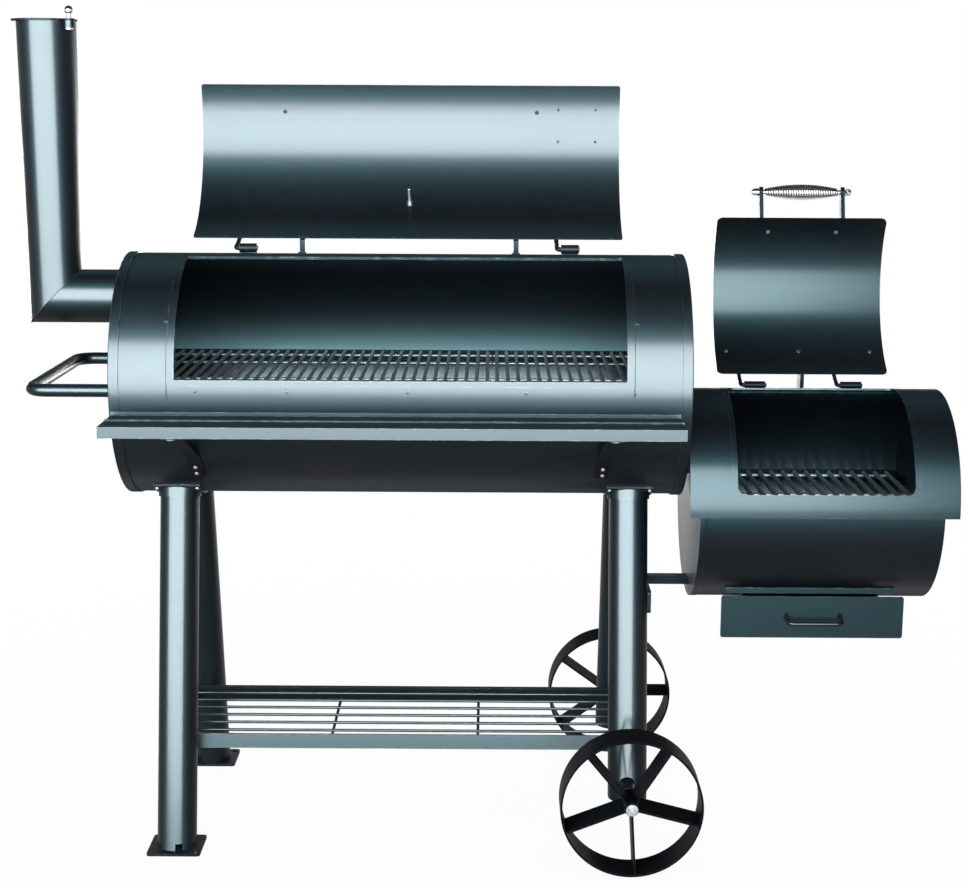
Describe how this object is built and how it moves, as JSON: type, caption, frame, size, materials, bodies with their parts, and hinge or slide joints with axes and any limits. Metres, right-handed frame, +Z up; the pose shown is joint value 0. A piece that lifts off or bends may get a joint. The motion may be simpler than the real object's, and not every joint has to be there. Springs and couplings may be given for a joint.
{
  "type": "offset smoker",
  "caption": "Barrel smoker with a side firebox, chimney, hinged lids, wire shelf and a stand on legs and wheels.",
  "frame": {"origin": "on the ground, under the middle of the overall bounding box", "axes": "+X along the barrel from the chimney to the firebox, +Y from the front shelf to the back, +Z up"},
  "size_m": [1.5572, 0.6346, 1.382],
  "materials": {
    "black_paint": "satin heat-resistant black paint",
    "black_iron": "dull black paint on fittings and wheels",
    "bare_steel": "plated steel",
    "bright_steel": "polished wound steel",
    "grate_steel": "dark coated steel wire",
    "dial_white": "matt white dial",
    "needle_red": "satin",
    "gauge_glass": "clear"
  },
  "bodies": {
    "frame": {"main_barrel_shell": "black_paint", "left_end_cap": "black_paint", "right_end_cap": "black_paint", "opening_frame": "black_paint", "lid_hinge_mounts": "black_iron", "chimney_stub": "black_paint", "chimney_pipe": "black_paint", "side_handle": "black_paint", "front_shelf": "black_paint", "shelf_braces": "black_iron", "frame_bolts": "bare_steel", "leg_saddles": "black_paint", "leg_front_left": "black_paint", "leg_front_right": "black_paint", "leg_rear_left": "black_paint", "leg_rear_right": "black_paint", "foot_plates": "black_iron", "bottom_shelf_bars": "black_paint", "bottom_shelf_wires": "black_paint", "cross_plate": "black_iron", "firebox_strut": "black_iron", "axle": "black_iron", "axle_nuts": "bare_steel", "firebox_shell": "black_paint", "firebox_left_plate": "black_paint", "firebox_right_plate": "black_paint", "firebox_hood": "black_paint", "firebox_throat": "black_paint", "firebox_hinge_mounts": "black_iron", "charcoal_grate": "grate_steel", "ash_housing": "black_paint", "cooking_grate_left": "grate_steel", "cooking_grate_middle": "grate_steel", "cooking_grate_right": "grate_steel"},
    "main_lid": {"main_lid_panel": "black_paint", "main_lid_hinge_rods": "black_iron", "main_lid_handle_posts": "black_iron", "main_lid_handle_grip": "bright_steel", "main_lid_bolts": "black_iron", "name_plate": "black_paint", "thermometer_case": "bare_steel", "thermometer_dial": "dial_white", "thermometer_glass": "gauge_glass"},
    "gauge_needle": {"thermometer_needle": "needle_red"},
    "firebox_lid": {"firebox_lid_panel": "black_paint", "firebox_lid_hinge_rods": "black_iron", "firebox_lid_handle_posts": "black_iron", "firebox_lid_handle_grip": "bright_steel", "firebox_lid_bolts": "bare_steel"},
    "chimney_cap": {"chimney_cap": "black_iron", "chimney_cap_pin": "bright_steel"},
    "ash_drawer": {"ash_drawer_body": "black_paint", "ash_drawer_handle": "black_paint"},
    "front_wheel": {"front_wheel_rim": "black_iron", "front_wheel_spokes": "black_iron"},
    "rear_wheel": {"rear_wheel_rim": "black_iron", "rear_wheel_spokes": "black_iron"},
    "air_damper": {"air_damper": "black_paint"}
  },
  "joints": [
    {"name": "main_lid_hinge", "type": "hinge", "parent": "frame", "child": "main_lid", "pos_m": [-0.1313, 0.0259, 0.9858], "axis": [1, 0, 0], "range_deg": [0, 165.07]},
    {"name": "gauge_needle_turn", "type": "hinge", "parent": "main_lid", "child": "gauge_needle", "pos_m": [-0.1313, 0.14846, 1.05349], "axis": [0, -0.7305, 0.6829], "range_deg": [0, 270]},
    {"name": "firebox_lid_hinge", "type": "hinge", "parent": "frame", "child": "firebox_lid", "pos_m": [0.5597, 0.0588, 0.7493], "axis": [1, 0, 0], "range_deg": [0, 142.8]},
    {"name": "chimney_cap_swivel", "type": "hinge", "parent": "frame", "child": "chimney_cap", "pos_m": [-0.6763, -0.0347, 1.36], "axis": [0, 0, 1], "range_deg": [0, 150]},
    {"name": "ash_drawer_slide", "type": "slide", "parent": "frame", "child": "ash_drawer", "axis": [0, -1, 0], "range_m": [0, 0.2]},
    {"name": "front_wheel_spin", "type": "hinge", "parent": "frame", "child": "front_wheel", "pos_m": [0.2437, -0.278, 0.1156], "axis": [0, 1, 0], "continuous": true},
    {"name": "rear_wheel_spin", "type": "hinge", "parent": "frame", "child": "rear_wheel", "pos_m": [0.2437, 0.278, 0.1156], "axis": [0, 1, 0], "continuous": true},
    {"name": "air_damper_turn", "type": "hinge", "parent": "frame", "child": "air_damper", "pos_m": [0.7567, 0, 0.497], "axis": [1, 0, 0], "range_deg": [0, 60]}
  ]
}
